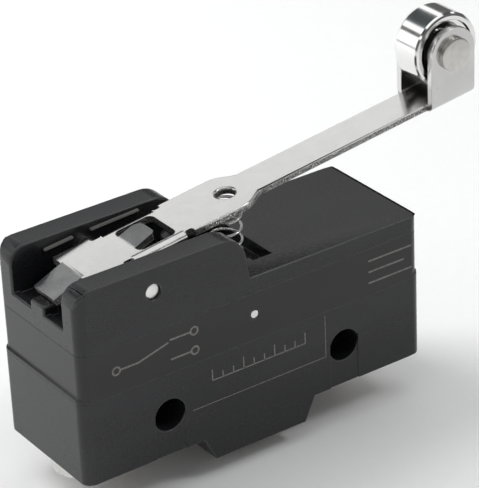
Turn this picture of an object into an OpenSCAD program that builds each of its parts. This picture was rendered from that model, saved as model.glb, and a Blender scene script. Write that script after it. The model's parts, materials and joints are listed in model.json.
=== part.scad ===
// Basic snap-action limit switch with a long hinged roller lever.
// Origin: centre of the two mounting holes, at mid-width of the case.
// +X runs along the case towards the roller, +Z is up, -Y is the front.

/* [Case] */
// Length of the base
case_l = 49.2; // [48:0.1:51]
// Width of the case
case_w = 17.45; // [17:0.05:18]
// Distance between the mounting holes
hole_pitch = 25.4; // [25.2:0.05:25.6]
// Diameter of the mounting holes
hole_d = 4.2; // [4:0.1:4.5]
// Depth of the base below the hole centres
base_drop = 5.35; // [5.2:0.05:5.6]
// Height of the joint between base and cover
base_top = 5.6; // [5.4:0.1:5.8]
// Height of the joint between cover and lever housing
cover_top = 11.85; // [11.8:0.05:12]
// Height of the flat deck of the lever housing
deck_top = 14; // [13.9:0.05:14.2]
// How much shorter the cover and housing are than the base, at each end
cover_inset = 0.25; // [0.2:0.05:0.3]
// Radius of the upright corners
corner_r = 1.3; // [1:0.1:2]
// Depth of the pedestal's underside below the hole centres
pedestal_drop = 8.55; // [8.3:0.05:8.8]
// Length of the pedestal where it leaves the base
pedestal_l = 16.3; // [15.8:0.1:16.6]

/* [Lever housing] */
// Height of the two cheeks
cheek_top = 20; // [19.8:0.05:20.2]
// Clear width between the cheeks
channel_w = 11; // [10.8:0.1:11.2]
// Height of the stop tab that the lever's tail rests over
stop_top = 15.35; // [15.2:0.05:15.4]
// Distance of the hinge pin left of the hole centres
pivot_back = 13.9; // [13.8:0.05:14]
// Height of the hinge pin
pivot_h = 16.85; // [16.8:0.05:16.9]
// Diameter of the hinge pin
hinge_pin_d = 2; // [1.9:0.05:2.1]

/* [Lever and roller] */
// Angle of the lever's plate above level when it is free
lever_rise = 7.3; // [7:0.1:7.5]
// Thickness of the lever's sheet
lever_t = 0.9; // [0.8:0.02:0.92]
// Width of the lever's plate over the switch
plate_w = 7.95; // [7.8:0.05:8.1]
// Width of the lever's long strip where it leaves the plate
strip_w = 4.8; // [4.6:0.1:5]
// Outer radius of the folds along the lever's edges
fold_r = 1.05; // [1:0.05:1.3]
// Distance from the hinge pin to the roller's pin, along X
lever_reach = 48.06; // [47.5:0.05:48.5]
// Height of the roller's pin
roller_h = 30.64; // [30.4:0.05:30.8]
// Diameter of the roller
roller_d = 9.5; // [9:0.1:10]
// Width of the roller
roller_w = 4.4; // [4:0.1:4.6]
// Diameter of the roller's pin
roller_pin_d = 2.5; // [2:0.1:3]

/* [Switch action] */
// Distance of the plunger left of the hole centres
plunger_back = 5.2; // [5:0.1:5.4]
// Diameter of the plunger
plunger_d = 3.2; // [3:0.1:3.4]
// Free play between lever and plunger
free_play = 0.3; // [0.25:0.01:0.35]
// Distance between open contacts
contact_gap = 0.9; // [0.85:0.01:0.95]
// Turns in the return spring
spring_turns = 5; // [4:0.5:6]

/* [Hidden] */
$fn = 64;
eps = 0.01;
slip = 0.03;
run_fit = 0.05;

phenolic = [0.09, 0.09, 0.1];
nickel = [0.82, 0.82, 0.8];
steel = [0.75, 0.76, 0.78];
brass = [0.8, 0.65, 0.35];
bronze = [0.72, 0.45, 0.28];
silver = [0.9, 0.9, 0.92];

// Case
cover_l = case_l - 2 * cover_inset;
half_w = case_w / 2;
wall = 2.1;
room_w = case_w - 2 * wall;
room_x = 23.1;
room_floor = 3.4;
room_top = 10.4;
well_x = 9.6;
well_floor = -3.4;
pedestal_foot = pedestal_l - 3.1;
groove_depth = 0.15;
rivet_x = -0.2;
rivet_z = 9;
rivet_d = 1.1;
flange_h = 0.45;
screw_hole_depth = 4.2;

// Housing
channel_y = channel_w / 2;
cheek_corner = 2.3;
cheek_nose = 3.4;
cheek_nose_x = -4.4;
cheek_foot_x = -0.55;
sill_top = 14.25;
sill_t = 1;
stop_w = 2.9;
stop_l = 2.2;
pocket_floor = 12.4;
pocket_x0 = -11;
pocket_step_x = 2.2;
pocket_x1 = 4.9;
pocket_w = 10.6;
pocket_throat_w = 9;

// Lever, in its own frame: origin on the hinge pin, +X along the plate
plate_top = 1.845;
plate_bot = plate_top - lever_t;
plate_x0 = -5.4;
notch_x = [-0.4, 8.3];
notch_l = [1.4, 1.1];
notch_depth = 0.7;
notch_r = 0.35;
ear_x0 = notch_x[0] + notch_l[0];
ear_x1 = notch_x[1];
ear_lobe = 1.75;
ear_drop = 4;
pin_clear = hinge_pin_d / 2 + run_fit;
lap = 0.02;
neck_x0 = 16.8;
neck_x1 = 20.4;
neck_steps = 8;
tail_x0 = -4.85;
tail_l = 3.8;
tail_w = 4.4;
tail_bend = 16.3;
tail_bend_r = 3;
window_x0 = 2.3;
window_x1 = 7.7;
window_w = 5.8;
window_r = 0.85;
tongue_w = 3.5;
tongue_l = 2.8;
tongue_bend = 17;
tongue_bend_r = 2.4;
tongue_end = 3;
tongue_far_r = 1.3;
tongue_near_r = 0.5;
spring_hole_d = 2.4;
spring_x = 2.2;
spring_hole_u = (spring_x + pivot_back + plate_top * sin(lever_rise)) / cos(lever_rise);

// Fork and roller
fork_w = 6.92;
fork_l = 6.7;
fork_side = fork_l / 2;
fork_floor_w = fork_w - 2 * fold_r;
ear_corner_r = 0.7;
fork_u = lever_reach * cos(lever_rise) + (roller_h - pivot_h) * sin(lever_rise);
fork_h = (roller_h - pivot_h) * cos(lever_rise) - lever_reach * sin(lever_rise);
fork_x0 = fork_u - fork_side * cos(lever_rise) - (fork_h - plate_bot) * tan(lever_rise);
pin_head_d = 4.3;
pin_head_t = 0.7;
rim_recess = 0.35;
rim_w = 1.1;
rim_chamfer = 0.3;

// Return spring
spring_d = 4;
wire_d = 0.36;
coil_r = (spring_d - wire_d) / 2;
ring_sides = 8;
ring_count = spring_turns * 14;
spring_z0 = pocket_floor + wire_d / 2 + eps;
plate_rise = tan(lever_rise);
plate_z = pivot_h + plate_top / cos(lever_rise);
function under_plate(x) = plate_z + (x + pivot_back) * plate_rise - lever_t / cos(lever_rise);
spring_z1 = under_plate(spring_x - spring_d / 2) - wire_d / 2 - 2 * eps;

// Switch action
plunger_x = -plunger_back;
blade_z = 7.1;
blade_t = 0.3;
blade_x0 = -22;
blade_x1 = 17.6;
blade_w = 6;
fulcrum_x = -16.8;
bead_r = 0.3;
anchor_x = -19.8;
anchor_d = 1.8;
anchor_t = 0.8;
rivet_head_d = 3;
rivet_head_t = 0.5;
contact_x = 16.3;
contact_d = 3.4;
contact_face = 0.6;
contact_stem = 1.6;
fixed_face = 0.7;
open_face = blade_z - contact_face - contact_gap - 0.06;
closed_face = blade_z + blade_t + contact_face + slip;
foot_gap = 0.05;
foot_r = 2.4;
foot_h = 0.9;
strip_t = 0.8;
bow_x = 4.5;
bow_r = 8;
bow_rise = 5.4;
bow_l = sqrt(bow_r * bow_r - bow_rise * bow_rise);
bow_w = 2.6;
slot_w = 3.2;

// Terminals
screw_x = 19.9;
screw_d = 4;
screw_l = 3.9;
slot_reach = 2.3;
slot_half = 0.4;
slot_depth = 1.1;
head_d = 7.5;
head_t = 1.9;
washer_t = 0.7;
washer_d = 8;
washer_teeth = 12;
tooth_w = 1.1;
tooth_l = 0.6;
lug_t = 1.2;
lug_w = 8;
riser_w = 6;
riser_x = 22.2;
riser_end = riser_x + strip_t;
lug_x0 = screw_x - 4.2;
middle_x0 = -4.2;
middle_x1 = 5.4;
middle_y0 = 3.6;
middle_y1 = 6.2;

// Rounded rectangle with true arcs at its corners
module rounded(l, w, r) {
    square([l - 2 * r, w], center = true);
    square([l, w - 2 * r], center = true);
    for (x = [-1, 1], y = [-1, 1])
        translate([x * (l / 2 - r), y * (w / 2 - r)]) circle(r);
}

// Box given by its lowest and highest corners
module box(a, b) {
    translate(a) cube(b - a);
}

// Rod along Y, centred on the XZ point
module rod_y(x, z, r, l) {
    translate([x, 0, z]) rotate([90, 0, 0]) cylinder(r = r, h = l, center = true);
}

// Outline in the XZ plane, extruded evenly about Y = 0
module across(w) {
    rotate([90, 0, 0]) linear_extrude(w, center = true) children();
}

module base() {
    color(phenolic) difference() {
        union() {
            translate([0, 0, -base_drop])
                linear_extrude(base_top + base_drop) rounded(case_l, case_w, corner_r);
            across(case_w) polygon([
                [-pedestal_l / 2, -base_drop + 1], [-pedestal_l / 2, -base_drop],
                [-pedestal_foot / 2, -pedestal_drop], [pedestal_foot / 2, -pedestal_drop],
                [pedestal_l / 2, -base_drop], [pedestal_l / 2, -base_drop + 1]]);
        }
        for (x = [-1, 1]) {
            rod_y(x * hole_pitch / 2, 0, hole_d / 2, case_w + 1);
            for (y = [-1, 1])
                translate([x * hole_pitch / 2 - hole_d / 2, y * (half_w + 1 - groove_depth) - 1,
                           -base_drop - 1])
                    cube([hole_d, 2, base_drop + 1]);
        }
        box([-room_x, -room_w / 2, room_floor], [room_x, room_w / 2, base_top + 1]);
        box([-well_x, -room_w / 2, well_floor], [well_x, room_w / 2, room_floor + eps]);
        for (x = [-1, 1]) {
            end_socket(x);
            screw_hole(x * screw_x, -base_drop);
        }
        centre_socket();
        screw_hole(0, -pedestal_drop);
    }
}

// Blind hole for a terminal screw, up from the underside
module screw_hole(x, z) {
    translate([x, 0, z - 1]) cylinder(d = screw_d + 0.2, h = screw_hole_depth + 1);
}

// Room for one end terminal: its lug under the base and its riser
module end_socket(side) {
    mirror([side < 0 ? 1 : 0, 0, 0]) {
        box([lug_x0 - slip, -lug_w / 2 - slip, -base_drop - 1],
            [riser_end + slip, lug_w / 2 + slip, -base_drop + lug_t + slip]);
        box([riser_x - slip, -riser_w / 2 - slip, -base_drop],
            [riser_end + slip, riser_w / 2 + slip, room_floor + eps]);
    }
}

// Room for the middle terminal: its lug under the pedestal and its riser
module centre_socket() {
    riser = middle_x1 - strip_t;
    box([middle_x0 - slip, -lug_w / 2 - slip, -pedestal_drop - 1],
        [middle_x1 + slip, lug_w / 2 + slip, -pedestal_drop + lug_t + slip]);
    box([riser - slip, middle_y0 - slip, -pedestal_drop],
        [middle_x1 + slip, middle_y1 + slip, well_floor + eps]);
    box([riser - slip, lug_w / 2 - 1 - slip, -pedestal_drop - 1],
        [middle_x1 + slip, middle_y1 + slip, -pedestal_drop + lug_t + slip]);
}

// Middle moulding, with a low flange that meets the base flush
module case_cover() {
    color(phenolic) difference() {
        union() {
            translate([0, 0, base_top])
                linear_extrude(cover_top - base_top) rounded(cover_l, case_w, corner_r);
            translate([0, 0, base_top]) linear_extrude(flange_h) rounded(case_l, case_w, corner_r);
        }
        box([-room_x, -room_w / 2, base_top - 1], [room_x, room_w / 2, room_top]);
        translate([plunger_x, 0, room_top - 1]) cylinder(d = plunger_d + 2 * run_fit, h = 4);
        rod_y(rivet_x, rivet_z, rivet_d / 2 + slip, case_w + 1);
    }
}

// Side view of the cheeks: round corner at the end, round nose, leaning foot
module cheek_profile() {
    x0 = -cover_l / 2;
    translate([x0, deck_top - 1])
        square([cheek_corner + eps, cheek_top - cheek_corner - deck_top + 1]);
    translate([x0 + cheek_corner, cheek_top - cheek_corner]) circle(cheek_corner);
    translate([x0 + cheek_corner, deck_top - 1])
        square([cheek_nose_x - x0 - cheek_corner, cheek_top - deck_top + 1]);
    translate([cheek_nose_x, cheek_top - cheek_nose]) circle(cheek_nose);
    polygon([[cheek_nose_x - 1, deck_top - 1], [cheek_nose_x - 1, cheek_top - cheek_nose],
             [cheek_nose_x + cheek_nose, cheek_top - cheek_nose],
             [cheek_foot_x, deck_top], [cheek_foot_x, deck_top - 1]]);
}

module lever_housing() {
    color(phenolic) difference() {
        union() {
            translate([0, 0, cover_top])
                linear_extrude(deck_top - cover_top) rounded(cover_l, case_w, corner_r);
            difference() {
                intersection() {
                    translate([0, 0, deck_top - 1])
                        linear_extrude(cheek_top - deck_top + 2) rounded(cover_l, case_w, corner_r);
                    across(case_w + 2) cheek_profile();
                }
                box([-case_l, -channel_y, deck_top], [case_l, channel_y, cheek_top + 2]);
            }
            box([-cover_l / 2, -channel_y - 1, deck_top - 1],
                [-cover_l / 2 + sill_t, channel_y + 1, sill_top]);
            box([-cover_l / 2, -stop_w / 2, deck_top - 1],
                [-cover_l / 2 + stop_l, stop_w / 2, stop_top]);
        }
        box([pocket_x0, -pocket_throat_w / 2, pocket_floor],
            [pocket_step_x + eps, pocket_throat_w / 2, deck_top + 1]);
        box([pocket_step_x, -pocket_w / 2, pocket_floor],
            [pocket_x1, pocket_w / 2, deck_top + 1]);
        translate([plunger_x, 0, cover_top - 1]) cylinder(d = plunger_d + 2 * run_fit, h = 3);
        rod_y(-pivot_back, pivot_h, hinge_pin_d / 2 + 0.01, case_w + 1);
    }
}

// Steel pin across the cover, just below flush at both faces
module case_rivet() {
    color(steel) rod_y(rivet_x, rivet_z, rivet_d / 2, case_w - 0.1);
}

module hinge_pin() {
    color(steel) rod_y(-pivot_back, pivot_h, hinge_pin_d / 2, case_w - 0.7);
}

// Half width of the lever's sheet along the neck, a smooth S from plate to strip
function neck_y(s) = (plate_w + strip_w) / 4 + (plate_w - strip_w) / 4 * cos(180 * s);

module neck_outline() {
    side = [for (i = [0 : neck_steps])
        [neck_x0 + (neck_x1 - neck_x0) * i / neck_steps, neck_y(i / neck_steps)]];
    polygon(concat(side, [for (i = [neck_steps : -1 : 0]) [side[i][0], -side[i][1]]]));
}

// Flat sheet of the lever seen from above, without the folds and bends
module lever_sheet() {
    difference() {
        union() {
            translate([plate_x0, -plate_w / 2]) square([neck_x0 - plate_x0, plate_w]);
            neck_outline();
            polygon([[neck_x1, -strip_w / 2], [fork_x0 + 1, -fork_floor_w / 2],
                     [fork_x0 + 1, fork_floor_w / 2], [neck_x1, strip_w / 2]]);
        }
        translate([plate_x0 - 1, -tail_w / 2]) square([tail_x0 - plate_x0 + 1, tail_w]);
        for (i = [0, 1], s = [-1, 1])
            translate([notch_x[i] + notch_l[i] / 2, s * plate_w / 2])
                rounded(notch_l[i], 2 * notch_depth, notch_r);
        for (s = [-1, 1])
            translate([ear_x0, s * plate_w / 2 - fold_r])
                square([ear_x1 - ear_x0, 2 * fold_r]);
    }
}

// Sheet with both its edges folded down, seen along the lever, with its top at zero
module folded_section(w, h) {
    difference() {
        union() {
            translate([-w / 2, -h]) square([w, h - fold_r]);
            translate([-w / 2 + fold_r, -fold_r]) square([w - 2 * fold_r, fold_r]);
            for (s = [-1, 1])
                translate([s * (w / 2 - fold_r), -fold_r]) circle(fold_r);
        }
        translate([-w / 2 + lever_t, -h - 1]) square([w - 2 * lever_t, h + 1 - fold_r]);
        translate([-w / 2 + fold_r, -h - 1]) square([w - 2 * fold_r, h + 1 - lever_t]);
        for (s = [-1, 1])
            translate([s * (w / 2 - fold_r), -fold_r]) circle(fold_r - lever_t);
    }
}

// The folded section run along the lever from u0 to u1
module folded_run(u0, u1, w, h) {
    translate([u0, 0, 0]) rotate([90, 0, 90]) linear_extrude(u1 - u0) folded_section(w, h);
}

// Side view of the hinge ears, in the lever's own XZ plane about the hinge pin
module ear_outline() {
    translate([ear_x0, plate_bot - fold_r]) square([ear_x1 - ear_x0, fold_r + lever_t + eps]);
    difference() {
        union() {
            circle(ear_lobe);
            polygon([[-0.9, -1.5], [0, -ear_lobe], [5.2, -1.6], [ear_x1, plate_bot - fold_r],
                     [ear_x1, plate_bot], [ear_x0, plate_bot], [0.6, 0.5]]);
        }
        translate([-ear_lobe - 1, plate_bot - 0.15]) square([ear_lobe + 1 + ear_x0, 3]);
    }
}

// Side view of the fork's ears in world XZ directions, centred on the roller's pin
module fork_outline() {
    bottom = -(fork_h - plate_bot) / cos(lever_rise);
    slope = tan(lever_rise);
    corner = [fork_side - ear_corner_r,
              bottom + slope * (fork_side - ear_corner_r) + ear_corner_r / cos(lever_rise)];
    difference() {
        union() {
            circle(fork_side);
            polygon([[-fork_side, 0], [-fork_side, bottom - slope * fork_side],
                     corner + ear_corner_r * [sin(lever_rise), -cos(lever_rise)],
                     corner, corner + [ear_corner_r, 0], [fork_side, 0]]);
            translate(corner) circle(ear_corner_r);
        }
        circle(roller_pin_d / 2 + slip);
    }
}

// Side view of a sheet that turns along an arc from straight up, then runs straight on
module bend_outline(r, bend, run) {
    intersection() {
        difference() {
            circle(r);
            circle(r - lever_t);
        }
        polygon([[lap, 0], [lap, 2 * r], [-2 * r * tan(bend), 2 * r], [0, 0]]);
    }
    translate([0, r - lever_t]) square([1, lever_t]);
    rotate(bend) translate([-run, r - lever_t]) square([run + lap, lever_t]);
}

// Tail, bent down at the end of the plate
module tail() {
    translate([tail_x0, 0, plate_top - tail_bend_r]) across(tail_w)
        bend_outline(tail_bend_r, tail_bend, tail_l);
}

// Tongue, bent up out of the window, with a rounded tip
module tongue() {
    intersection() {
        translate([window_x0, 0, plate_bot + tongue_bend_r]) across(tongue_w)
            rotate(180) bend_outline(tongue_bend_r, tongue_bend, tongue_l);
        translate([window_x0, 0, 0]) linear_extrude(2 * plate_top) tongue_outline();
    }
}

// Tongue seen from above, with one corner of its tip rounder than the other
module tongue_outline() {
    half = tongue_w / 2;
    translate([-2, -half]) square([tongue_end - tongue_far_r + 2, tongue_w]);
    translate([0, -half]) square([tongue_end - tongue_near_r, half]);
    translate([0, tongue_near_r - half])
        square([tongue_end, tongue_w - tongue_near_r - tongue_far_r]);
    translate([tongue_end - tongue_near_r, tongue_near_r - half]) circle(tongue_near_r);
    translate([tongue_end - tongue_far_r, half - tongue_far_r]) circle(tongue_far_r);
}

module lever() {
    color(nickel) translate([-pivot_back, 0, pivot_h]) rotate([0, -lever_rise, 0]) {
        difference() {
            union() {
                translate([0, 0, plate_bot]) linear_extrude(lever_t) lever_sheet();
                intersection() {
                    translate([0, 0, plate_top])
                        folded_run(-ear_lobe - 1, ear_x1, plate_w, ear_drop);
                    across(plate_w + 1) ear_outline();
                }
            }
            translate([(window_x0 + window_x1) / 2, 0, plate_bot - 1])
                linear_extrude(lever_t + 2) rounded(window_x1 - window_x0, window_w, window_r);
            translate([spring_hole_u, 0, plate_bot - 1]) cylinder(d = spring_hole_d, h = lever_t + 2);
            rod_y(0, 0, pin_clear, plate_w + 1);
        }
        tail();
        tongue();
        intersection() {
            translate([0, 0, plate_bot]) mirror([0, 0, 1])
                folded_run(fork_x0 - 1, fork_x0 + fork_l + 3, fork_w, fork_h + fork_l);
            translate([fork_u, 0, fork_h]) rotate([0, lever_rise, 0]) across(fork_w + 1) fork_outline();
        }
    }
}

// Roller with a raised rim and a shallow recess in each face
module roller() {
    color(steel) translate([lever_reach - pivot_back, 0, roller_h]) rotate([90, 0, 0])
        rotate_extrude() {
            bore = roller_pin_d / 2 + run_fit;
            rim = roller_d / 2 - rim_w;
            translate([bore, -roller_w / 2 + rim_recess])
                square([rim - bore + eps, roller_w - 2 * rim_recess]);
            r = roller_d / 2;
            half = roller_w / 2;
            polygon([[rim, -half], [r - rim_chamfer, -half], [r, -half + rim_chamfer],
                     [r, half - rim_chamfer], [r - rim_chamfer, half], [rim, half]]);
        }
}

// Headed pin, riveted over at the back
module roller_pin() {
    color(steel) translate([lever_reach - pivot_back, 0, roller_h]) {
        rod_y(0, 0, roller_pin_d / 2, fork_w);
        for (s = [-1, 1])
            translate([0, s * (fork_w / 2 + pin_head_t / 2), 0])
                rotate([90, 0, 0]) cylinder(d = pin_head_d, h = pin_head_t, center = true);
    }
}

// Round wire swept along a helix with closed ends
function coil_rise(s) = s < 0.15 ? s * 0.5 : s > 0.85 ? 1 - (1 - s) * 0.5
    : 0.075 + (s - 0.15) * (0.85 / 0.7);
function coil_point(i, j) = let (s = i / ring_count, a = 360 * spring_turns * s,
    b = 360 * j / ring_sides, r = coil_r + wire_d / 2 * cos(b))
    [spring_x + r * cos(a), r * sin(a),
     spring_z0 + (spring_z1 - spring_z0) * coil_rise(s) + wire_d / 2 * sin(b)];

module return_spring() {
    last = ring_count * ring_sides;
    color(steel) polyhedron(
        points = [for (i = [0 : ring_count], j = [0 : ring_sides - 1]) coil_point(i, j)],
        faces = concat(
            [for (i = [0 : ring_count - 1], j = [0 : ring_sides - 1])
                let (k = (j + 1) % ring_sides, a = i * ring_sides, b = a + ring_sides)
                [a + j, a + k, b + k, b + j]],
            [[for (j = [ring_sides - 1 : -1 : 0]) j]],
            [[for (j = [0 : ring_sides - 1]) last + j]]));
}

// Stem, guided by cover and housing, with a foot that stops it below the cover
module plunger() {
    top = under_plate(plunger_x - 0.6) - free_play - 0.15;
    foot_z = blade_z + blade_t + foot_gap;
    color(phenolic) translate([plunger_x, 0, 0]) {
        rotate_extrude() {
            collar = room_top - 0.1;
            r = plunger_d / 2;
            polygon([[0, foot_z], [foot_r / 2, foot_z], [foot_r / 2, foot_z + foot_h],
                     [foot_r, foot_z + foot_h], [foot_r, collar], [r, collar],
                     [r, top - 0.5], [r - 0.6, top], [0, top]]);
        }
    }
}

// Leaf spring with a bead where it tilts, a window and a bowed tongue
module snap_blade() {
    color(bronze) {
        difference() {
            box([blade_x0, -blade_w / 2, blade_z], [blade_x1, blade_w / 2, blade_z + blade_t]);
            box([bow_x - bow_l, -slot_w / 2, blade_z - 1],
                [bow_x + bow_l - 0.2, slot_w / 2, blade_z + 1]);
            translate([contact_x, 0, blade_z - 1]) cylinder(d = contact_stem + 2 * slip, h = 2);
            translate([anchor_x, 0, blade_z - 1]) cylinder(d = anchor_d + 2 * slip, h = 2);
        }
        rod_y(fulcrum_x, blade_z + blade_t / 2, bead_r, blade_w);
        translate([bow_x, 0, blade_z + blade_t + bow_rise]) across(bow_w) intersection() {
            difference() {
                circle(bow_r);
                circle(bow_r - blade_t);
            }
            translate([-bow_l + 0.6, -bow_r]) square([2 * bow_l, bow_r - bow_rise]);
        }
    }
}

// Double-faced contact riveted through the blade's free end
module moving_contact() {
    color(silver) translate([contact_x, 0, 0]) {
        translate([0, 0, blade_z - contact_face]) cylinder(d = contact_d, h = contact_face);
        translate([0, 0, blade_z]) cylinder(d = contact_stem, h = blade_t);
        translate([0, 0, blade_z + blade_t]) cylinder(d = contact_d, h = contact_face);
    }
}

module blade_anchor() {
    color(steel) difference() {
        box([anchor_x - 1.8, -blade_w / 2, blade_z + blade_t],
            [anchor_x + 2.2, blade_w / 2, blade_z + blade_t + anchor_t]);
        translate([anchor_x, 0, blade_z]) cylinder(d = anchor_d + 2 * slip, h = 2);
    }
}

module anchor_rivet() {
    low = blade_z - 1;
    high = blade_z + blade_t + anchor_t;
    color(steel) translate([anchor_x, 0, 0]) {
        translate([0, 0, low - rivet_head_t]) cylinder(d = rivet_head_d, h = rivet_head_t);
        translate([0, 0, low]) cylinder(d = anchor_d, h = high - low);
        translate([0, 0, high]) cylinder(d = rivet_head_d, h = rivet_head_t);
    }
}

// Lug under one end of the base, with the riser that leads into the case
module end_lug(riser_top) {
    difference() {
        box([lug_x0, -lug_w / 2, -base_drop], [riser_end, lug_w / 2, -base_drop + lug_t]);
        translate([screw_x, 0, -base_drop - 1]) cylinder(d = screw_d + 2 * slip, h = 4);
    }
    box([riser_x, -riser_w / 2, -base_drop + lug_t - eps], [riser_end, riser_w / 2, riser_top]);
}

module common_terminal() {
    color(brass) mirror([1, 0, 0]) {
        end_lug(blade_z);
        difference() {
            box([17.2, -riser_w / 2, blade_z - 1], [riser_end, riser_w / 2, blade_z]);
            translate([-anchor_x, 0, blade_z - 2]) cylinder(d = anchor_d + 2 * slip, h = 4);
        }
    }
}

module open_terminal() {
    color(brass) {
        end_lug(open_face - fixed_face);
        box([contact_x - 1.9, -riser_w / 2, open_face - fixed_face - strip_t],
            [riser_end, riser_w / 2, open_face - fixed_face]);
    }
}

module open_contact() {
    color(silver) translate([contact_x, 0, open_face - fixed_face])
        cylinder(d = contact_d, h = fixed_face);
}

module closed_terminal() {
    riser = middle_x1 - strip_t;
    shelf = closed_face + fixed_face;
    color(brass) {
        difference() {
            box([middle_x0, -lug_w / 2, -pedestal_drop], [middle_x1, lug_w / 2, -pedestal_drop + lug_t]);
            translate([0, 0, -pedestal_drop - 1]) cylinder(d = screw_d + 2 * slip, h = 4);
        }
        box([riser, lug_w / 2 - 1, -pedestal_drop], [middle_x1, middle_y1, -pedestal_drop + lug_t]);
        box([riser, middle_y0, -pedestal_drop + lug_t - eps], [middle_x1, middle_y1, shelf + strip_t]);
        box([riser, -2.5, shelf], [contact_x + 2, middle_y1, shelf + strip_t]);
    }
}

module closed_contact() {
    color(silver) translate([contact_x, 0, closed_face]) cylinder(d = contact_d, h = fixed_face);
}

// Pan-head screw standing head down, with a cross slot
module screw_down(x, z) {
    translate([x, 0, z]) difference() {
        union() {
            translate([0, 0, -washer_t]) cylinder(d = screw_d, h = washer_t + screw_l);
            translate([0, 0, -washer_t - head_t]) cylinder(d = head_d, h = head_t);
        }
        for (a = [0, 90])
            rotate(a)
                box([-slot_reach, -slot_half, -washer_t - head_t - 1],
                    [slot_reach, slot_half, -washer_t - head_t + slot_depth]);
    }
}

module terminal_screws() {
    color(nickel) {
        for (x = [-screw_x, screw_x])
            screw_down(x, -base_drop);
        screw_down(0, -pedestal_drop);
    }
}

// Washer with outward teeth, lying under a screw head
module toothed_washer(x, z) {
    translate([x, 0, z - washer_t + slip]) difference() {
        union() {
            cylinder(r = washer_d / 2 - tooth_l, h = washer_t - 2 * slip);
            for (i = [0 : washer_teeth - 1])
                rotate(360 * i / washer_teeth)
                    box([washer_d / 2 - 2 * tooth_l, -tooth_w / 2, 0],
                        [washer_d / 2, tooth_w / 2, washer_t - 2 * slip]);
        }
        translate([0, 0, -1]) cylinder(d = screw_d + 0.3, h = 3);
    }
}

module toothed_washers() {
    color(steel) {
        for (x = [-screw_x, screw_x])
            toothed_washer(x, -base_drop);
        toothed_washer(0, -pedestal_drop);
    }
}

base();
case_cover();
lever_housing();
case_rivet();
hinge_pin();
lever();
roller();
roller_pin();
return_spring();
plunger();
snap_blade();
moving_contact();
blade_anchor();
anchor_rivet();
common_terminal();
open_terminal();
closed_terminal();
open_contact();
closed_contact();
terminal_screws();
toothed_washers();
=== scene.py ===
"""Looks of a snap-action limit switch with a long hinged roller lever."""
import json
import math

import bmesh
import bpy
from mathutils import Matrix, Vector
from mathutils.bvhtree import BVHTree


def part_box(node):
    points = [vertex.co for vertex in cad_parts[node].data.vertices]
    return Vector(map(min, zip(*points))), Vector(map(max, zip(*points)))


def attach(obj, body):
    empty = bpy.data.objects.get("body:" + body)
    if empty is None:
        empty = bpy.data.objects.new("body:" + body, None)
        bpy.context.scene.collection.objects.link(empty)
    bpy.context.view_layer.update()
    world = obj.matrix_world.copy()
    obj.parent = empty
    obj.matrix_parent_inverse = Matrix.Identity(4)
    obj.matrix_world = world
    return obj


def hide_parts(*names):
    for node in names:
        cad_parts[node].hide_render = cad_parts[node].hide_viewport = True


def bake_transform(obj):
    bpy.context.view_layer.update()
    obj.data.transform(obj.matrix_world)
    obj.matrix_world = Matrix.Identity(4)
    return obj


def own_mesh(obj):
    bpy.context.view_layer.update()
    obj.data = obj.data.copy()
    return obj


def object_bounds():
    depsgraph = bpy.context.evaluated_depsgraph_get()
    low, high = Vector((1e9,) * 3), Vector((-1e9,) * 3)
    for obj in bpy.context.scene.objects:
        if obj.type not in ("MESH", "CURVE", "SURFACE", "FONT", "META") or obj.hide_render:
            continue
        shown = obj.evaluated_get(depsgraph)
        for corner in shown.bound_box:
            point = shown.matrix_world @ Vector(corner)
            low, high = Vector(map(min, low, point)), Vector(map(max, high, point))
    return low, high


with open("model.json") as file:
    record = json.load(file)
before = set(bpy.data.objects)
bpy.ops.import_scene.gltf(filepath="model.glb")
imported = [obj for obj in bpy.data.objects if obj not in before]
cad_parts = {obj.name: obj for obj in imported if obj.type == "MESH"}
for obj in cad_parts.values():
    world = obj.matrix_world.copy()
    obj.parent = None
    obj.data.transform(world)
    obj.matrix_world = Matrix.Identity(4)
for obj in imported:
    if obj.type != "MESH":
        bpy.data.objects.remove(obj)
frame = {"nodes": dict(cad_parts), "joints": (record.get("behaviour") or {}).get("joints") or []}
cad_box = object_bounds()

MM = 0.001
UP = Vector((0, 0, 1))
ACROSS = Vector((0, 1, 0))

joints = {j["name"]: j for j in frame["joints"]}
pivot = Vector(joints["lever_swing"]["pos_m"])
roller_axle = Vector(joints["roller_spin"]["pos_m"])
base_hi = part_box("base")[1]
cover_lo, cover_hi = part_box("case_cover")
housing_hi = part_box("lever_housing")[1]
lever_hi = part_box("lever")[1]
roller_lo, roller_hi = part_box("roller")

# The lever rises from its pin at this angle; along runs up its plate and square stands on it
LEVER_RISE = math.radians(7.3)
along = Vector((math.cos(LEVER_RISE), 0, math.sin(LEVER_RISE)))
square = Vector((-math.sin(LEVER_RISE), 0, math.cos(LEVER_RISE)))
# Sheet: height of its top face over the pin, thickness, half width, bend radius and half width of the fork
PLATE_TOP = 1.845 * MM
LEVER_T = 0.9 * MM
PLATE_HALF = 3.975 * MM
FOLD = 1.05 * MM
FORK_HALF = 3.46 * MM
# Distances along the plate from the pin: where the ears begin and end, the middle of the spring's hole,
# how far round it its wall reaches, where the eased edges start, and from the roller's axle back to the fork
EAR_SPAN = (1.0 * MM, 8.3 * MM)
SPRING_HOLE = 16.47 * MM
HOLE_REACH = 1.25 * MM
PLAIN_END = 10.5 * MM
FORK_BACK = 3.35 * MM
# Case: height of the deck, half width of the channel between the cheeks, and how far the side faces are
# drawn in to make room for the printed ink
DECK = 14 * MM
CHANNEL_HALF = 5.5 * MM
SKIN = 0.012 * MM


# Camera: round the mounting holes' centre by azimuth, elevation and roll, then offset in its own plane

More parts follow.
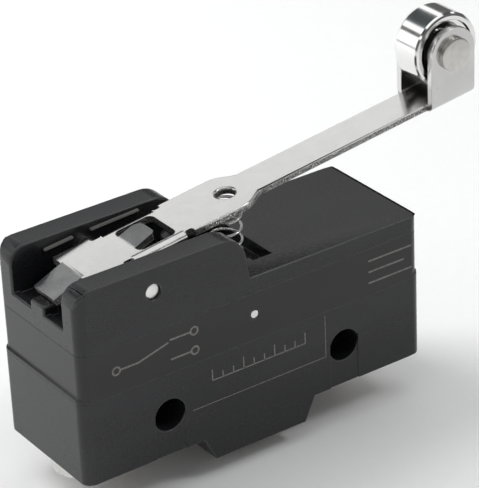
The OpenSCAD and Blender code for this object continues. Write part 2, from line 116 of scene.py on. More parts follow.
def make_camera(azimuth, elevation, roll, distance, aside, above, lens):
    a, e, r = (math.radians(x) for x in (azimuth, elevation, roll))
    back = Vector((math.sin(a) * math.cos(e), -math.cos(a) * math.cos(e), math.sin(e)))
    level = Vector((math.cos(a), math.sin(a), 0))
    upward = back.cross(level)
    right = level * math.cos(r) + upward * math.sin(r)
    top = upward * math.cos(r) - level * math.sin(r)
    data = bpy.data.cameras.new("camera")
    camera = bpy.data.objects.new("camera", data)
    bpy.context.scene.collection.objects.link(camera)
    turn = Matrix((right, top, back)).transposed().to_4x4()
    camera.matrix_world = Matrix.Translation(back * distance + right * aside + top * above) @ turn
    data.lens = lens
    data.sensor_width = 36
    data.clip_start, data.clip_end = 0.01, 10
    bpy.context.scene.camera = camera


make_camera(azimuth=-34.0, elevation=28.23, roll=-2.66, distance=320.65 * MM,
            aside=2.68 * MM, above=12.92 * MM, lens=195.03)


# Finishes: shader maths as plain expressions

class Port:
    """One output of a shader node. Arithmetic with numbers and other ports adds Math nodes."""

    def __init__(self, finish, socket):
        self.finish, self.socket = finish, socket

    def math(self, operation, *values):
        return self.finish.add("Math", {"operation": operation}, dict(enumerate(values)))

    def __add__(self, other):
        return self.math("ADD", self, other)

    def __sub__(self, other):
        return self.math("SUBTRACT", self, other)

    def __rsub__(self, other):
        return self.math("SUBTRACT", other, self)

    def __mul__(self, other):
        return self.math("MULTIPLY", self, other)

    __radd__ = __add__
    __rmul__ = __mul__

    def smooth(self, low, high):
        """0 below low, 1 above high, and a smooth step between."""
        settings = {"interpolation_type": "SMOOTHSTEP"}
        return self.finish.add("MapRange", settings, {"Value": self, "From Min": low, "From Max": high})


class Finish:
    """One material being made. add() makes every node but the Principled shader."""

    def __init__(self, name, **shader_values):
        self.material = bpy.data.materials.new(name)
        self.material.use_nodes = True
        self.tree = self.material.node_tree
        self.shader = self.tree.nodes["Principled BSDF"]
        for key, value in shader_values.items():
            self.set(key.replace("_", " ").title().replace("Ior", "IOR"), value)
        self.place = self.add("TexCoord", output="Object")

    def set(self, name, value):
        self.join(self.shader.inputs[name], value)

    def join(self, socket, value):
        if isinstance(value, Port):
            self.tree.links.new(value.socket, socket)
        elif socket.type == "RGBA" and len(value) == 3:
            socket.default_value = (*value, 1)
        else:
            socket.default_value = value

    def add(self, kind, settings=None, values=None, output=0):
        """A node of this kind: its settings first, then its sockets' values or links. Gives one output."""
        node = self.tree.nodes.new("ShaderNode" + kind)
        for key, value in (settings or {}).items():
            setattr(node, key, value)
        for key, value in (values or {}).items():
            self.join(node.inputs[key], value)
        return Port(self, node.outputs[output])

    def noise(self, size, detail=3.0, rough=0.5, stretch=(1, 1, 1)):
        """Noise with features of about this size in metres, from 0 to 1."""
        scale = tuple(1 / (size * s) for s in stretch)
        point = self.add("VectorMath", {"operation": "MULTIPLY"}, {0: self.place, 1: scale})
        values = {"Vector": point, "Scale": 1.0, "Detail": detail, "Roughness": rough}
        return self.add("TexNoise", None, values, "Fac")

    def cells(self, size):
        """Distance to the nearest of many scattered points, about this far apart in metres."""
        return self.add("TexVoronoi", None, {"Vector": self.place, "Scale": 1 / size}, "Distance")

    def blend(self, share, first, second):
        """Colour between first and second."""
        factor, color_a, color_b, color_out = 0, 6, 7, 2
        values = {factor: share, color_a: first, color_b: second}
        return self.add("Mix", {"data_type": "RGBA"}, values, color_out)

    def bump(self, height, depth, strength=1.0):
        """Relief from a height of 0 to 1, depth in metres."""
        values = {"Height": height, "Distance": depth, "Strength": strength}
        self.set("Normal", self.add("Bump", None, values, "Normal"))

    def worn_edges(self):
        """1 on the eased edges, 0 on flats."""
        return self.add("Attribute", {"attribute_name": "rim"}, output="Fac")

    def height_above(self, point, normal):
        """Signed distance from the plane through point, in metres."""
        raised = self.add("VectorMath", {"operation": "DOT_PRODUCT"}, {0: self.place, 1: normal}, "Value")
        return raised - point.dot(normal)


def moulded_black(name, tint, gloss, sheen=0.45):
    """Black phenolic: faint flow marks, fine grain, pale specks and slightly rubbed edges."""
    f = Finish(name, ior=1.5, specular_ior_level=sheen)
    flow = f.noise(9 * MM, 2.0, 0.5, (2.5, 1, 0.7))
    grain = f.noise(0.16 * MM, 3.0, 0.6)
    specks = 1 - f.cells(0.9 * MM).smooth(0.02, 0.07)
    edge = f.worn_edges()
    lighter = tuple(c * 1.5 for c in tint)
    shade = f.blend(flow.smooth(0.35, 0.7), tint, lighter)
    shade = f.blend(specks * 0.3, shade, (0.06, 0.06, 0.06))
    f.set("Base Color", f.blend(edge * 0.4, shade, (0.07, 0.07, 0.07)))
    f.set("Roughness", gloss + (flow - 0.5) * 0.1 + grain * 0.07 + edge * 0.06)
    f.bump(grain * 0.5 + f.noise(1.6 * MM, 2.0) * 0.5, 0.008 * MM, 0.4)
    return f.material


def stamped_nickel():
    """Satin rolled sheet: grain along the lever, soft cloudiness and a few fine marks."""
    f = Finish("stamped_nickel", metallic=1.0)
    grain = f.noise(0.05 * MM, 3.0, 0.7, (26, 1, 1))
    clouds = f.noise(3.2 * MM, 3.0, 0.55)
    marks = f.noise(0.12 * MM, 2.0, 0.6, (9, 1, 3)).smooth(0.68, 0.76)
    shade = f.blend(clouds.smooth(0.3, 0.75), (0.55, 0.545, 0.535), (0.62, 0.615, 0.605))
    f.set("Base Color", f.blend(marks * 0.3, shade, (0.4, 0.39, 0.375)))
    f.set("Roughness", 0.13 + clouds * 0.06 + grain * 0.05 + marks * 0.1)
    f.bump(grain * 0.7 + clouds * 0.3, 0.004 * MM, 0.35)
    return f.material


def sheared_edge(name, pale, dull, clean):
    """Cut edge of the sheet: a burnished band under the top face, as deep as clean, and torn metal below."""
    f = Finish(name, metallic=1.0)
    streaks = f.noise(0.2 * MM, 4.0, 0.7, (0.8, 1, 1.4))
    depth = PLATE_TOP - f.height_above(pivot, square)
    below_band = (depth + streaks * 0.1 * MM).smooth(clean - 0.08 * MM, clean + 0.12 * MM)
    torn = streaks.smooth(0.4, 0.56) * below_band
    f.set("Base Color", f.blend(torn, pale, dull))
    f.set("Roughness", 0.26 + torn * 0.3)
    f.bump(streaks * torn, 0.06 * MM, 0.9)
    return f.material


def polished_steel():
    """Ground and polished roller: fine rings and faint smears."""
    f = Finish("polished_steel", metallic=1.0)
    rings = f.noise(0.06 * MM, 2.0, 0.5, (60, 1, 60))
    smears = f.noise(2.4 * MM, 3.0, 0.6)
    f.set("Base Color", f.blend(smears, (0.76, 0.755, 0.74), (0.84, 0.84, 0.83)))
    f.set("Roughness", 0.07 + smears * 0.07 + rings * 0.04)
    f.bump(rings, 0.003 * MM, 0.3)
    return f.material


def plain_steel(name, tint, gloss):
    """Turned or headed steel pin: dull face with small dents."""
    f = Finish(name, metallic=1.0)
    clouds = f.noise(1.1 * MM, 3.0, 0.6)
    dents = f.cells(0.5 * MM).smooth(0.05, 0.3)
    darker = tuple(c * 0.86 for c in tint)
    f.set("Base Color", f.blend(clouds.smooth(0.3, 0.7), darker, tint))
    f.set("Roughness", gloss + clouds * 0.12)
    f.bump(dents * 0.5 + clouds * 0.5, 0.008 * MM, 0.35)
    return f.material


def drawn_wire():
    """Bright spring wire with drawing lines."""
    f = Finish("drawn_wire", metallic=1.0)
    lines = f.noise(0.09 * MM, 2.0, 0.6, (3, 3, 1))
    f.set("Base Color", f.blend(lines, (0.66, 0.655, 0.64), (0.83, 0.825, 0.81)))
    f.set("Roughness", 0.18 + lines * 0.12)
    f.bump(lines, 0.004 * MM, 0.4)
    return f.material


def rolled_alloy(name, tint, tarnish):
    """Brass, bronze or silver strip: rolling lines and a little tarnish."""
    f = Finish(name, metallic=1.0)
    lines = f.noise(0.07 * MM, 3.0, 0.6, (14, 1, 1))
    patches = f.noise(2.0 * MM, 4.0, 0.6).smooth(0.42, 0.72)
    f.set("Base Color", f.blend(patches * 0.55, tint, tarnish))
    f.set("Roughness", 0.26 + lines * 0.1 + patches * 0.16)
    f.bump(lines, 0.004 * MM, 0.4)
    return f.material


def moulded_stem():
    """Black plastic of the plunger, polished where it slides, with faint turning marks."""
    f = Finish("moulded_stem", ior=1.5)
    flow = f.noise(1.5 * MM, 2.0, 0.5)
    rings = f.noise(0.1 * MM, 2.0, 0.5, (20, 20, 1))
    f.set("Base Color", f.blend(flow, (0.012, 0.012, 0.013), (0.03, 0.03, 0.032)))
    f.set("Roughness", 0.3 + flow * 0.1 + rings * 0.06)
    f.bump(rings, 0.006 * MM, 0.4)
    return f.material


def printing_ink():
    """Pale grey-brown pad-printed ink, a little uneven in cover."""
    f = Finish("printing_ink")
    patchy = f.noise(0.22 * MM, 3.0, 0.6)
    f.set("Base Color", f.blend(patchy.smooth(0.3, 0.62), (0.11, 0.102, 0.094), (0.2, 0.187, 0.172)))
    f.set("Roughness", 0.5 + patchy * 0.15)
    f.bump(patchy, 0.006 * MM, 0.4)
    return f.material


def studio_paper():
    """Matt white paper of the floor, with a faint fibre."""
    f = Finish("studio_paper")
    fibre = f.noise(1.2 * MM, 3.0, 0.6)
    f.set("Base Color", f.blend(fibre, (0.88, 0.88, 0.88), (0.91, 0.91, 0.91)))
    f.set("Roughness", 0.75 + fibre * 0.1)
    f.bump(fibre, 0.02 * MM, 0.2)
    return f.material


CASE_BLACK = moulded_black("case_black", (0.0085, 0.0088, 0.01), 0.24)
COVER_BLACK = moulded_black("cover_black", (0.0085, 0.0085, 0.0088), 0.27)
# The ribs' light grey tint is a painted highlight on the shaded inner walls of the cheeks.
RIB_PAINTED_HIGHLIGHT = moulded_black("rib_painted_highlight", (0.13, 0.128, 0.122), 0.42)
NICKEL = stamped_nickel()
SHEARED = sheared_edge("sheared_edge", (0.7, 0.695, 0.68), (0.11, 0.105, 0.1), 0.28 * MM)
# The spring hole's wall uses the cut-edge finish with much darker colours, as painted shade inside the hole,
# and is torn all over.
HOLE_WALL_PAINTED_SHADE = sheared_edge("hole_wall_painted_shade", (0.3, 0.285, 0.265), (0.07, 0.064, 0.06), -1 * MM)
POLISHED = polished_steel()
PIN_STEEL = plain_steel("pin_steel", (0.62, 0.61, 0.58), 0.3)
PIN_END = plain_steel("pin_end", (0.86, 0.855, 0.84), 0.34)
PLATED = plain_steel("zinc_plate", (0.74, 0.735, 0.71), 0.22)
WIRE = drawn_wire()
BRASS = rolled_alloy("terminal_brass", (0.74, 0.52, 0.22), (0.42, 0.27, 0.12))
BRONZE = rolled_alloy("blade_bronze", (0.7, 0.42, 0.22), (0.4, 0.22, 0.12))
SILVER = rolled_alloy("contact_silver", (0.87, 0.86, 0.84), (0.5, 0.48, 0.44))
STEM_BLACK = moulded_stem()
INK = printing_ink()


# Mesh helpers

def to_piece(bm, name, materials, body, replaced=(), smooth=32, flats=False):
    """A finished mesh as a piece that rides on a body. Edges over smooth degrees shade sharp, and flats
    keeps the shading of broad faces flat right up to their eased edges."""
    mesh = bpy.data.meshes.new(name)
    bm.to_mesh(mesh)
    bm.free()
    piece = bpy.data.objects.new(name, mesh)
    bpy.context.scene.collection.objects.link(piece)
    for material in materials:
        mesh.materials.append(material)
    mesh.shade_smooth()
    mesh.set_sharp_from_angle(angle=math.radians(smooth))
    if flats:
        shading = piece.modifiers.new("flat_faces", "WEIGHTED_NORMAL")
        shading.keep_sharp = True
        shading.weight = 100
    if body:
        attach(piece, body)
    if replaced:
        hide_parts(*replaced)
    return piece


# Corners of a solid nearer than this are one corner, and faces within this angle are one flat
SHARED_CORNER = 0.001 * MM
FLAT_ANGLE = 0.001


def cad_shape(node):
    """The node's solid as one clean mesh: shared corners joined and flat triangles merged."""
    bm = bmesh.new()
    bm.from_mesh(frame["nodes"][node].data)
    bmesh.ops.remove_doubles(bm, verts=bm.verts, dist=SHARED_CORNER)
    bmesh.ops.dissolve_limit(bm, angle_limit=FLAT_ANGLE, verts=bm.verts, edges=bm.edges)
    return bm


# Edges sharper than this are rounded. A neighbouring edge is in line when its cosine passes IN_LINE, and
# any other gives up no more than ROOM_SHARE of its length.
SHARP_ANGLE = math.radians(22)
IN_LINE = 0.85
ROOM_SHARE = 0.4
# Material slot that marks the roundings while they are made, corners this near are joined afterwards,
# and a corner further than STRAY from the solid is a fault
EASED_SLOT = 3
SAME_PLACE = 0.004 * MM
STRAY = 0.12 * MM


def room_beside(edge):
    """The widest rounding that the edge's own neighbours leave room for."""
    direction = (edge.verts[1].co - edge.verts[0].co).normalized()
    room = math.inf
    for corner in edge.verts:
        for other in corner.link_edges:
            run = other.verts[1].co - other.verts[0].co
            if other is not edge and abs(run.normalized().dot(direction)) < IN_LINE:
                room = min(room, ROOM_SHARE * run.length)
    return room


def ease_edges(bm, width_at, widest, segments=3):
    """Rounds each sharp edge by the width that width_at gives for its middle and whether it is convex."""
    weight = bm.edges.layers.float.new("bevel_weight_edge")
    for edge in bm.edges:
        if not edge.is_manifold or edge.calc_face_angle() < SHARP_ANGLE:
            continue
        middle = (edge.verts[0].co + edge.verts[1].co) / 2
        width = min(width_at(middle, edge.is_convex), room_beside(edge))
        edge[weight] = min(1.0, width / widest)
    surface = BVHTree.FromBMesh(bm)
    mesh = bpy.data.meshes.new("easing")
    bm.to_mesh(mesh)
    bm.free()
    holder = bpy.data.objects.new("easing", mesh)
    bpy.context.scene.collection.objects.link(holder)
    bevel = holder.modifiers.new("round", "BEVEL")
    bevel.limit_method = "WEIGHT"
    bevel.width, bevel.segments = widest, segments
    bevel.use_clamp_overlap = False
    for index in range(EASED_SLOT + 1):
        mesh.materials.append(None)
    bevel.material = EASED_SLOT
    graph = bpy.context.evaluated_depsgraph_get()
    made = bmesh.new()
    made.from_object(holder, graph)
    rim = made.loops.layers.float.new("rim")
    for face in made.faces:
        if face.material_index == EASED_SLOT:
            face.material_index = 0
            for corner in face.loops:
                corner[rim] = 1.0
    bpy.data.objects.remove(holder)
    bpy.data.meshes.remove(mesh)
    # where several roundings meet, a corner thrown clear of the solid goes back to its surface
    for vert in made.verts:
        nearest, normal, index, distance = surface.find_nearest(vert.co)
        if distance > STRAY:
            vert.co = nearest
    bmesh.ops.remove_doubles(made, verts=made.verts, dist=SAME_PLACE)
    return made


def around(steps):
    """Angles of this many even steps round a circle."""
    return [2 * math.pi * i / steps for i in range(steps)]


def lathe(bm, outline, centre, axis, steps):
    """Turns an outline of (distance along the axis, radius) points round an axis through centre."""
    axis = axis.normalized()
    side = axis.orthogonal().normalized()
    other = axis.cross(side)
    rings = []
    for along_axis, radius in outline:
        middle = centre + axis * along_axis
        if radius == 0:
            rings.append([bm.verts.new(middle)])
            continue
        spokes = [side * math.cos(t) + other * math.sin(t) for t in around(steps)]
        rings.append([bm.verts.new(middle + spoke * radius) for spoke in spokes])
    for low, high in zip(rings, rings[1:]):
        for i in range(steps):
            k = (i + 1) % steps
            corners = [low[i % len(low)], low[k % len(low)], high[k % len(high)], high[i % len(high)]]
            bm.faces.new(list(dict.fromkeys(corners)))
    bmesh.ops.recalc_face_normals(bm, faces=bm.faces)


# Case mouldings

# Edge radii of the case, by place: inside corners, along the lower and upper joint lines, the rest of the
# base, the cheeks' outer and other edges, the outline of the deck, and everything else
INNER_EASE = 0.08 * MM
LOWER_JOINT_EASE = 0.07 * MM
UPPER_JOINT_EASE = 0.1 * MM
BASE_EASE = 0.14 * MM
CHEEK_SIDE_EASE = 0.2 * MM
CHEEK_EASE = 0.3 * MM
DECK_EASE = 0.22 * MM
PLAIN_EASE = 0.1 * MM
CASE_WIDEST = 0.5 * MM


def case_edge(middle, convex):
    """Edge radius for the three case mouldings, by where the edge is."""
    on_joint, on_face, over_deck = 0.02 * MM, 0.05 * MM, 0.3 * MM
    if not convex:
        return INNER_EASE
    if min(abs(middle.z - base_hi.z), abs(middle.z - cover_lo.z)) < on_joint:
        return LOWER_JOINT_EASE
    if abs(middle.z - cover_hi.z) < on_joint:
        return UPPER_JOINT_EASE
    if middle.z < base_hi.z:
        return BASE_EASE
    on_side = abs(abs(middle.y) - housing_hi.y) < on_face
    if middle.z > DECK + over_deck:
        return CHEEK_SIDE_EASE if on_side else CHEEK_EASE
    if on_side or abs(middle.x) > housing_hi.x - on_face:
        return DECK_EASE
    return PLAIN_EASE


def thin_skin(bm):
    """Draws both side faces in by a hair, so that the printing on the front stays inside the case's width."""
    share = 1 - SKIN / base_hi.y
    bmesh.ops.scale(bm, vec=(1, share, 1), verts=bm.verts)


def make_case():
    """The three black mouldings, from their solids."""
    mouldings = (("base", CASE_BLACK, "case_black"), ("case_cover", COVER_BLACK, "cover_black"),
                 ("lever_housing", CASE_BLACK, "case_black"))
    for node, material, slot in mouldings:
        eased = ease_edges(cad_shape(node), case_edge, CASE_WIDEST)
        thin_skin(eased)
        to_piece(eased, node + "_moulding", [material], "case", [node], flats=True)


def add_bar(bm, corners, low, high, ease):
    """A bar between y = low and y = high with the given outline in XZ, its outer edges eased."""
    ends = [[bm.verts.new((x, y, z)) for x, z in corners] for y in (low, high)]
    count = len(corners)
    faces = [bm.faces.new(ends[0]), bm.faces.new(list(reversed(ends[1])))]
    for i in range(count):
        k = (i + 1) % count
        faces.append(bm.faces.new((ends[0][i], ends[1][i], ends[1][k], ends[0][k])))
    if ease:
        edges = list({e for f in faces for e in f.edges})
        bmesh.ops.bevel(bm, geom=edges, offset=ease, segments=2, affect="EDGES")


def make_wall_ribs():
    """Two short ribs along the inner wall of each cheek, coloured light grey as a painted highlight."""
    # the ends of each rib's upper edge, as X and Z in millimetres
    runs = (((-19.8, 18.6), (-15.8, 19.0)), ((-13.4, 19.15), (-6.6, 19.5)))
    tall, deep, sunk, eased = 0.3 * MM, 0.42 * MM, 0.1 * MM, 0.09 * MM
    bm = bmesh.new()
    for side in (-1, 1):
        for (x0, z0), (x1, z1) in runs:
            x0, z0, x1, z1 = (v * MM for v in (x0, z0, x1, z1))
            outline = [(x0, z0 - tall), (x1, z1 - tall), (x1, z1), (x0, z0)]
            wall = side * (CHANNEL_HALF + sunk)
            add_bar(bm, outline, *sorted((wall, side * (CHANNEL_HALF - deep))), eased)
    bmesh.ops.recalc_face_normals(bm, faces=bm.faces)
    to_piece(bm, "wall_ribs", [RIB_PAINTED_HIGHLIGHT], "case", flats=True)


# Lever

def in_lever(point):
    """A point as (along the plate, across it, square to it) from the hinge pin."""
    away = point - pivot
    return away.dot(along), away.y, away.dot(square)


# Distance along the plate beyond which everything belongs to the fork, taken at the top of its ears
FORK_START = in_lever(Vector((roller_axle.x - FORK_BACK, 0, lever_hi.z)))[0]

# Edge radii of the lever: the rolled-over rim of the spring's hole and its underside, the top outline,
# the fork, the lower outline and inside corners
HOLE_RIM_EASE = 0.3 * MM
HOLE_UNDER_EASE = 0.06 * MM
TOP_EASE = 0.18 * MM
FORK_EASE = 0.09 * MM
LOWER_EASE = 0.07 * MM
BEND_EASE = 0.04 * MM
LEVER_WIDEST = 0.8 * MM


def lever_edge(middle, convex):
    """Rolled-over edge where the sheet was cut from above, a small one elsewhere."""
    u, v, w = in_lever(middle)
    if u < PLAIN_END:
        return 0
    if not convex:
        return BEND_EASE
    if math.hypot(u - SPRING_HOLE, v) < HOLE_REACH + 0.15 * MM:
        return HOLE_RIM_EASE if w > PLATE_TOP - 0.1 * MM else HOLE_UNDER_EASE
    if abs(w - PLATE_TOP) < 0.05 * MM:
        return TOP_EASE
    return FORK_EASE if u > FORK_START else LOWER_EASE


def is_cut_face(face):
    """True on the sheet's cut edge, false on its rolled faces."""
    u, v, w = in_lever(face.calc_center_median())
    hair, ear_reach = 0.02 * MM, 3 * MM
    flatness = abs(face.normal.dot(square))
    below, above = w < PLATE_TOP - LEVER_T - 0.07 * MM, w > PLATE_TOP + 0.05 * MM
    beside_pin = EAR_SPAN[0] - ear_reach < u < EAR_SPAN[1] + hair
    on_ear = beside_pin and abs(v) > PLATE_HALF - FOLD - hair
    if (on_ear and w < PLATE_TOP) or u > FORK_START:
        folded_away = below if on_ear else above
        return abs(face.normal.y) < 0.5 and (folded_away or flatness < 0.7)
    return flatness < 0.5


def make_lever():
    """The stamped lever, from its solid: nickel faces, sheared edges and a wall in the spring's hole painted
    dark as shade.
    """
    bm = cad_shape("lever")
    rolled, cut, hole_wall_painted_shade = 0, 1, 2
    for face in bm.faces:
        u, v, w = in_lever(face.calc_center_median())
        in_hole = math.hypot(u - SPRING_HOLE, v) < HOLE_REACH and abs(face.normal.dot(square)) < 0.5
        flat_or_cut = cut if is_cut_face(face) else rolled
        # faces of the spring hole's wall take the painted shade
        face.material_index = hole_wall_painted_shade if in_hole else flat_or_cut
    eased = ease_edges(bm, lever_edge, LEVER_WIDEST, 4)
    finishes = [NICKEL, SHEARED, HOLE_WALL_PAINTED_SHADE]
    to_piece(eased, "lever_sheet", finishes, "lever_arm", ["lever"], flats=True)


# Roller and its pin

def make_roller():
    """Roller with chamfered rims, a shallow recess in each side and a raised hub."""
    half, radius = (roller_hi.y - roller_lo.y) / 2, (roller_hi.z - roller_lo.z) / 2
    bore = 1.3 * MM
    chamfer, rim, recess, hub = 0.38 * MM, 0.5 * MM, 0.35 * MM, 2.2 * MM
    face = [(0, radius), (half - chamfer, radius), (half - chamfer * 0.3, radius - chamfer * 0.35),
            (half, radius - chamfer), (half, radius - chamfer - rim + 0.06 * MM),
            (half - 0.06 * MM, radius - chamfer - rim),
            (half - recess, radius - chamfer - rim - 0.1 * MM), (half - recess, hub),
            (half - recess + 0.1 * MM, hub - 0.1 * MM), (half - recess + 0.1 * MM, bore + 0.1 * MM),
            (half - recess, bore)]
    outline = face + [(-a, r) for a, r in reversed(face)][:-1]
    bm = bmesh.new()
    lathe(bm, outline + [outline[0]], roller_axle, ACROSS, 128)
    bmesh.ops.remove_doubles(bm, verts=bm.verts, dist=SHARED_CORNER / 2)
    bmesh.ops.recalc_face_normals(bm, faces=bm.faces)
    to_piece(bm, "steel_roller", [POLISHED], "roller", ["roller"], 24)


def make_roller_pin():
    """Headed pin through the fork, with a flat head in front and a riveted tail behind."""
    lo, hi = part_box("roller_pin")
    end, head = hi.y, (hi.z - lo.z) / 2
    seat = FORK_HALF
    shank = 1.25 * MM
    lip = 0.09 * MM
    head_side = [(seat, shank), (seat, head - 0.05 * MM), (seat + 0.05 * MM, head), (end - lip, head),
                 (end - 0.04 * MM, head - lip), (end, head - 0.28 * MM), (end, 0)]
    tail_side = [(seat, shank), (seat, head * 0.86), (seat + 0.2 * MM, head * 0.88),
                 (end - 0.12 * MM, head * 0.7), (end, head * 0.45), (end, 0)]
    outline = [(-a, r) for a, r in reversed(head_side)] + tail_side
    bm = bmesh.new()
    lathe(bm, outline, roller_axle, ACROSS, 96)
    to_piece(bm, "roller_rivet", [PIN_STEEL], "lever_arm", ["roller_pin"], 24)


# Pins that show in the case

def make_case_pins():
    """Hinge pin and cross pin, each a rod with rounded, slightly dished ends."""
    pins = (("hinge_pin", "hinge_pin_rod", 0.22 * MM), ("case_rivet", "case_rivet_rod", 0.12 * MM))
    for node, name, lip in pins:
        lo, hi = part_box(node)
        radius, half = (hi.z - lo.z) / 2, (hi.y - lo.y) / 2
        end = [(half - lip, radius), (half - lip * 0.3, radius - lip * 0.3), (half, radius - lip),
               (half, radius * 0.3), (half - 0.05 * MM, 0)]
        bm = bmesh.new()
        lathe(bm, [(-a, r) for a, r in reversed(end)] + end, (lo + hi) / 2, ACROSS, 64)
        to_piece(bm, name, [PIN_END], "case", [node], 24)


# Return spring: one wire, closed at both ends

def make_spring():
    """The coil, with about a turn closed flat at each end."""
    lo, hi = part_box("return_spring")
    wire = 0.18 * MM
    middle = (lo + hi) / 2
    radius = (hi.x - lo.x) / 2 - wire
    turns, per_turn, sides = 5.5, 40, 12
    count = int(turns * per_turn)
    closed = 0.8 / turns
    climb = 0.9
    bm = bmesh.new()
    rings = []
    for i in range(count + 1):
        s = i / count
        opened = max(0.0, min(1.0, (s - closed) / (1 - 2 * closed)))
        rise = opened * climb + s * (1 - climb)
        turn = 2 * math.pi * turns * s
        out = Vector((math.cos(turn), math.sin(turn), 0))
        z = lo.z + wire + (hi.z - lo.z - 2 * wire) * rise
        centre = Vector((middle.x, middle.y, z)) + out * radius
        spokes = [out * math.cos(a) + UP * math.sin(a) for a in around(sides)]
        rings.append([bm.verts.new(centre + spoke * wire) for spoke in spokes])
    for a, b in zip(rings, rings[1:]):
        for k in range(sides):
            n = (k + 1) % sides
            bm.faces.new((a[k], a[n], b[n], b[k]))
    bm.faces.new(list(reversed(rings[0])))
    bm.faces.new(rings[-1])
    bmesh.ops.recalc_face_normals(bm, faces=bm.faces)
    coil = to_piece(bm, "spring_coil", [WIRE], "case", ["return_spring"], 60)
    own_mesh(coil)


# Terminal screws and their washers

def make_terminal_hardware():
    """Screws and washers with eased edges, from their solids."""
    def screw_edge(middle, convex):
        return 0.18 * MM if convex else 0.04 * MM

    def tooth_edge(middle, convex):
        return 0.05 * MM

    screws = ease_edges(cad_shape("terminal_screws"), screw_edge, 0.3 * MM)
    to_piece(screws, "screw_set", [PLATED], "case", ["terminal_screws"], flats=True)
    washers = ease_edges(cad_shape("toothed_washers"), tooth_edge, 0.1 * MM, 2)
    to_piece(washers, "washer_set", [PLATED], "case", ["toothed_washers"], flats=True)


# Pieces inside, which keep their solids and take a finish

def finish_inner_pieces():
    """Gives each piece inside the case its metal or plastic."""
    inner = {"moving_contact": SILVER, "blade_anchor": PIN_STEEL, "anchor_rivet": PIN_STEEL,
             "common_terminal": BRASS, "open_terminal": BRASS, "closed_terminal": BRASS,
             "open_contact": SILVER, "closed_contact": SILVER, "plunger": STEM_BLACK}
    for node, material in inner.items():
        mesh = frame["nodes"][node].data
        mesh.materials.clear()
        mesh.materials.append(material)


def make_blade():
    """Snap blade, cut across in thin slices either side of its hinge."""
    bm = cad_shape("snap_blade")
    hinge = joints["blade_tilt"]["pos_m"][0]
    start, end = hinge - 0.7 * MM, hinge + 0.9 * MM
    steps = 12
    for i in range(steps + 1):
        x = start + (end - start) * i / steps
        geometry = list(bm.verts) + list(bm.edges) + list(bm.faces)
        bmesh.ops.bisect_plane(bm, geom=geometry, dist=SHARED_CORNER, plane_co=(x, 0, 0), plane_no=(1, 0, 0))
    blade = to_piece(bm, "snap_leaf", [BRONZE], None, ["snap_blade"])
    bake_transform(blade)


# Printing on the front: plain rules and a wiring sketch, with no lettering. Places are X and Z in mm.

INK_FRONT = -base_hi.y + 0.002 * MM
INK_BACK = -base_hi.y + SKIN + 0.004 * MM


def add_rule(bm, start, end, width):
    """A printed line between two places."""
    a, b = Vector(start) * MM, Vector(end) * MM
    side = (b - a).normalized().orthogonal() * width / 2
    outline = [a - side, b - side, b + side, a + side]
    add_bar(bm, outline, INK_FRONT, INK_BACK, 0)


def add_ring(bm, place, radius, width):
    """A printed ring, the sign for one terminal."""
    steps = 24
    x, z = (v * MM for v in place)
    inner = radius - width
    loops = []
    for y, r in ((INK_FRONT, inner), (INK_FRONT, radius), (INK_BACK, radius), (INK_BACK, inner)):
        corners = [(x + r * math.cos(t), y, z + r * math.sin(t)) for t in around(steps)]
        loops.append([bm.verts.new(corner) for corner in corners])
    for a, b in zip(loops, loops[1:] + loops[:1]):
        for i in range(steps):
            k = (i + 1) % steps
            bm.faces.new((a[i], a[k], b[k], b[i]))


def make_printing():
    """All the printed marks as one thin piece on the front face."""
    bm = bmesh.new()
    hairline, fine, bold = 0.1 * MM, 0.17 * MM, 0.24 * MM
    ring = 0.62 * MM
    # wiring sketch on the cover's left: a common terminal, a moving arm and two contacts
    common, pivot_end, arm_end = (-19.6, 8.6), (-16.6, 8.6), (-12.4, 9.7)
    add_ring(bm, common, ring, bold)
    add_rule(bm, (-19.0, 8.6), pivot_end, bold)
    add_rule(bm, pivot_end, arm_end, bold)
    for level in (9.95, 7.35):
        add_rule(bm, (-12.2, level), (-9.4, level), bold)
        add_ring(bm, (-8.8, level), ring, bold)
    # stacked rules on the cover's right
    left, top, pitch = 16.6, 10.2, 1.5
    for row, length in enumerate((6.6, 5.4, 6.6)):
        level = top - pitch * row
        add_rule(bm, (left, level), (left + length, level), bold)
    # graduated rule on the base, between the holes, with every third tick long
    left, level, step, ticks = -6.6, 2.4, 1.5, 10
    add_rule(bm, (left, level), (left + step * (ticks - 1), level), fine)
    for tick in range(ticks):
        x = left + step * tick
        height = 1.5 if tick % 3 == 0 else 0.9
        add_rule(bm, (x, level), (x, level + height), fine)
    # frame of the marking field, left of the right-hand hole
    corner = (9.9, -0.6)
    add_rule(bm, (9.9, 5.1), corner, hairline)
    add_rule(bm, corner, (-9.6, -0.6), hairline)
    bmesh.ops.recalc_face_normals(bm, faces=bm.faces)
    to_piece(bm, "printed_marks", [INK], "case")


make_case()
make_wall_ribs()
make_printing()
make_lever()
make_roller()
make_roller_pin()
make_case_pins()
make_spring()
make_terminal_hardware()
make_blade()
finish_inner_pieces()


# Studio: pale floor and soft light

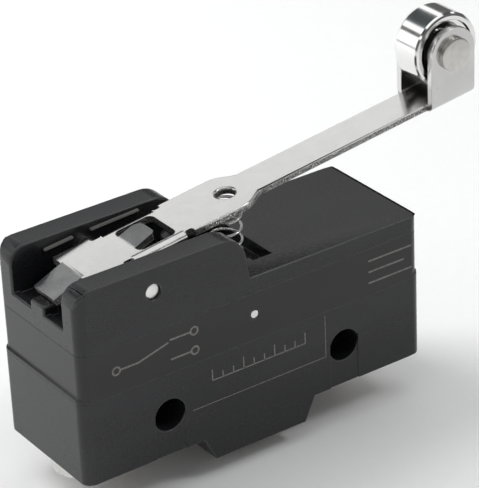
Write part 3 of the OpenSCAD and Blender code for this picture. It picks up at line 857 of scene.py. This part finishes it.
def make_floor():
    """Plain paper floor just under the lowest screw head."""
    reach, gap = 3.0, 0.02 * MM
    bm = bmesh.new()
    bmesh.ops.create_grid(bm, x_segments=8, y_segments=8, size=reach)
    bmesh.ops.translate(bm, verts=bm.verts, vec=(0, 0, cad_box[0].z - gap))
    mesh = bpy.data.meshes.new("floor")
    bm.to_mesh(mesh)
    bm.free()
    floor = bpy.data.objects.new("floor", mesh)
    bpy.context.scene.collection.objects.link(floor)
    mesh.materials.append(studio_paper())


def soft_box(name, place, aim, width, height, watts, seen=True):
    """A white panel light at place, turned towards aim. Glossy surfaces show it if it is seen."""
    data = bpy.data.lights.new(name, "AREA")
    data.shape, data.size, data.size_y = "RECTANGLE", width, height
    data.energy = watts
    lamp = bpy.data.objects.new(name, data)
    bpy.context.scene.collection.objects.link(lamp)
    lamp.location = place
    lamp.rotation_euler = (Vector(aim) - Vector(place)).to_track_quat("-Z", "Y").to_euler()
    lamp.visible_glossy = seen


class Sky(Finish):
    """The room round the object, as one background shader."""

    def __init__(self, name):
        self.world = bpy.data.worlds.new(name)
        self.world.use_nodes = True
        self.tree = self.world.node_tree
        self.shader = self.tree.nodes["Background"]
        self.place = self.add("TexCoord", output="Generated")


def make_light():
    """Dim room with a bright band part way up, and soft boxes above, behind on the left and front right."""
    sky = Sky("studio")
    height = sky.add("SeparateXYZ", None, {0: sky.place}, "Z")
    ceiling = height.smooth(0.59, 0.63)
    light_band = height.smooth(0.46, 0.5) * (1 - ceiling)
    sky.set("Color", sky.blend(ceiling, (1.0, 1.0, 0.995), (0.84, 0.93, 1.0)))
    sky.set("Strength", 0.13 + light_band * 1.4 - ceiling * 0.05)
    bpy.context.scene.world = sky.world
    centre = (0.005, 0, 0.01)
    soft_box("back_left", (-0.22, 0.28, 0.36), (-0.03, 0.04, -0.01), 0.3, 0.3, 1.7, seen=False)
    soft_box("fill", (0, 0, 1.5), centre, 1.6, 1.6, 9.0)
    soft_box("low_left", (-0.42, 0.47, 0.15), centre, 0.3, 0.26, 0.3)
    soft_box("front_right", (0.3, -0.28, 0.45), centre, 0.12, 0.12, 0.6)


make_floor()
make_light()

bpy.context.scene.view_settings.view_transform = "Standard"
